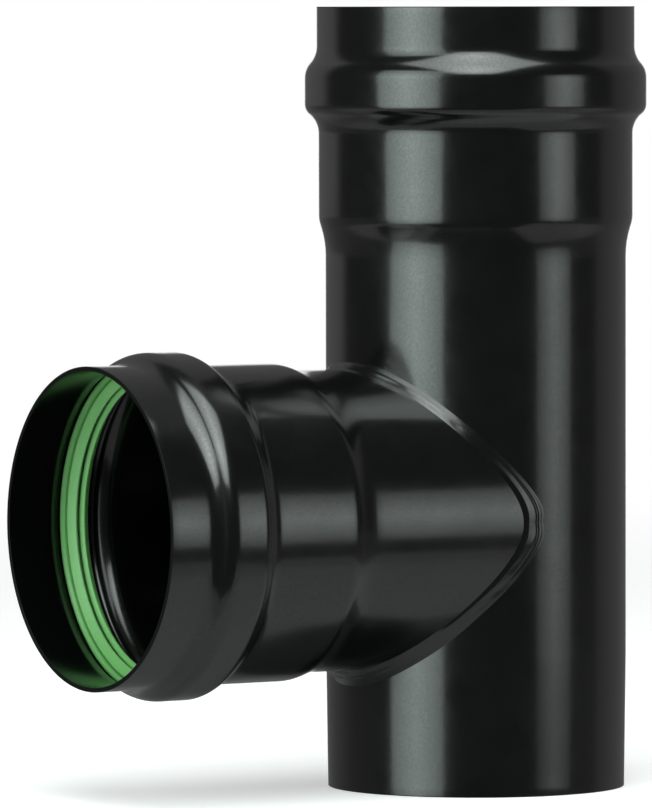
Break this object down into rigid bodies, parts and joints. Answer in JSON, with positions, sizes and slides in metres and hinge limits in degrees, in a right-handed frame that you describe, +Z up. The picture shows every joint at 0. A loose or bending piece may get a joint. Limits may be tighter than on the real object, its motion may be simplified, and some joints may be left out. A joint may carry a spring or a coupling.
{
  "type": "stove pipe tee",
  "caption": "Round one-wall stove pipe tee with a plain lower end, and beaded push-fit sockets at its top and side that each hold a soft sealing ring.",
  "frame": {"origin": "centre of the run's plain lower end, where the tee stands", "axes": "+Z up the run towards its socket, +X along the branch out of its mouth"},
  "size_m": [0.1662, 0.0914, 0.2085],
  "materials": {
    "enamel": "glossy black vitreous enamel with fine orange peel, on steel sheet",
    "silicone": "satin green silicone rubber"
  },
  "bodies": {
    "root": {"run_pipe": "enamel", "branch_pipe": "enamel", "weld_seam": "enamel", "branch_gasket": "silicone", "top_gasket": "silicone"}
  },
  "joints": []
}
